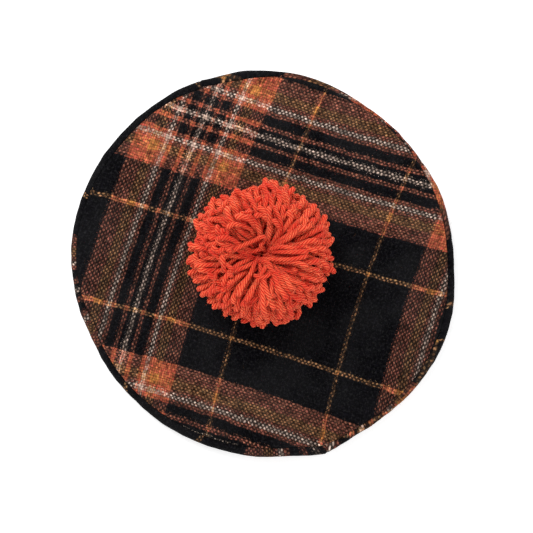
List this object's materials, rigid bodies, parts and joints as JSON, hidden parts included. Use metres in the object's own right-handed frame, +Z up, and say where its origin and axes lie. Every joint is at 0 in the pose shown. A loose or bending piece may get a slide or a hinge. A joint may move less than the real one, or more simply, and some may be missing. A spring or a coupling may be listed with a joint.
{
  "type": "pompom beret",
  "caption": "Round flat tartan beret, its top panel sewn at the rim to a ring-shaped underside, with a headband round the open head hollow and a large yarn pompom in the middle.",
  "frame": {"origin": "on the surface the hat stands on, below the middle of its outline seen from above", "axes": "+Z up out of the crown, +Y towards the picture's upper edge and +X towards its right edge"},
  "size_m": [0.278, 0.2803, 0.1179],
  "materials": {
    "tartan_top": "coarse plain-woven wool tartan, matt",
    "tartan_underside": "coarse plain-woven wool tartan, matt",
    "band_wool": "plain dark wool, matt",
    "pompom_yarn": "thick plied wool yarn, matt",
    "tie_yarn": "plied wool yarn, matt"
  },
  "bodies": {
    "root": {"crown_top": "tartan_top", "crown_underside": "tartan_underside", "headband": "band_wool", "pompom": "pompom_yarn", "pompom_tie": "tie_yarn"}
  },
  "joints": []
}
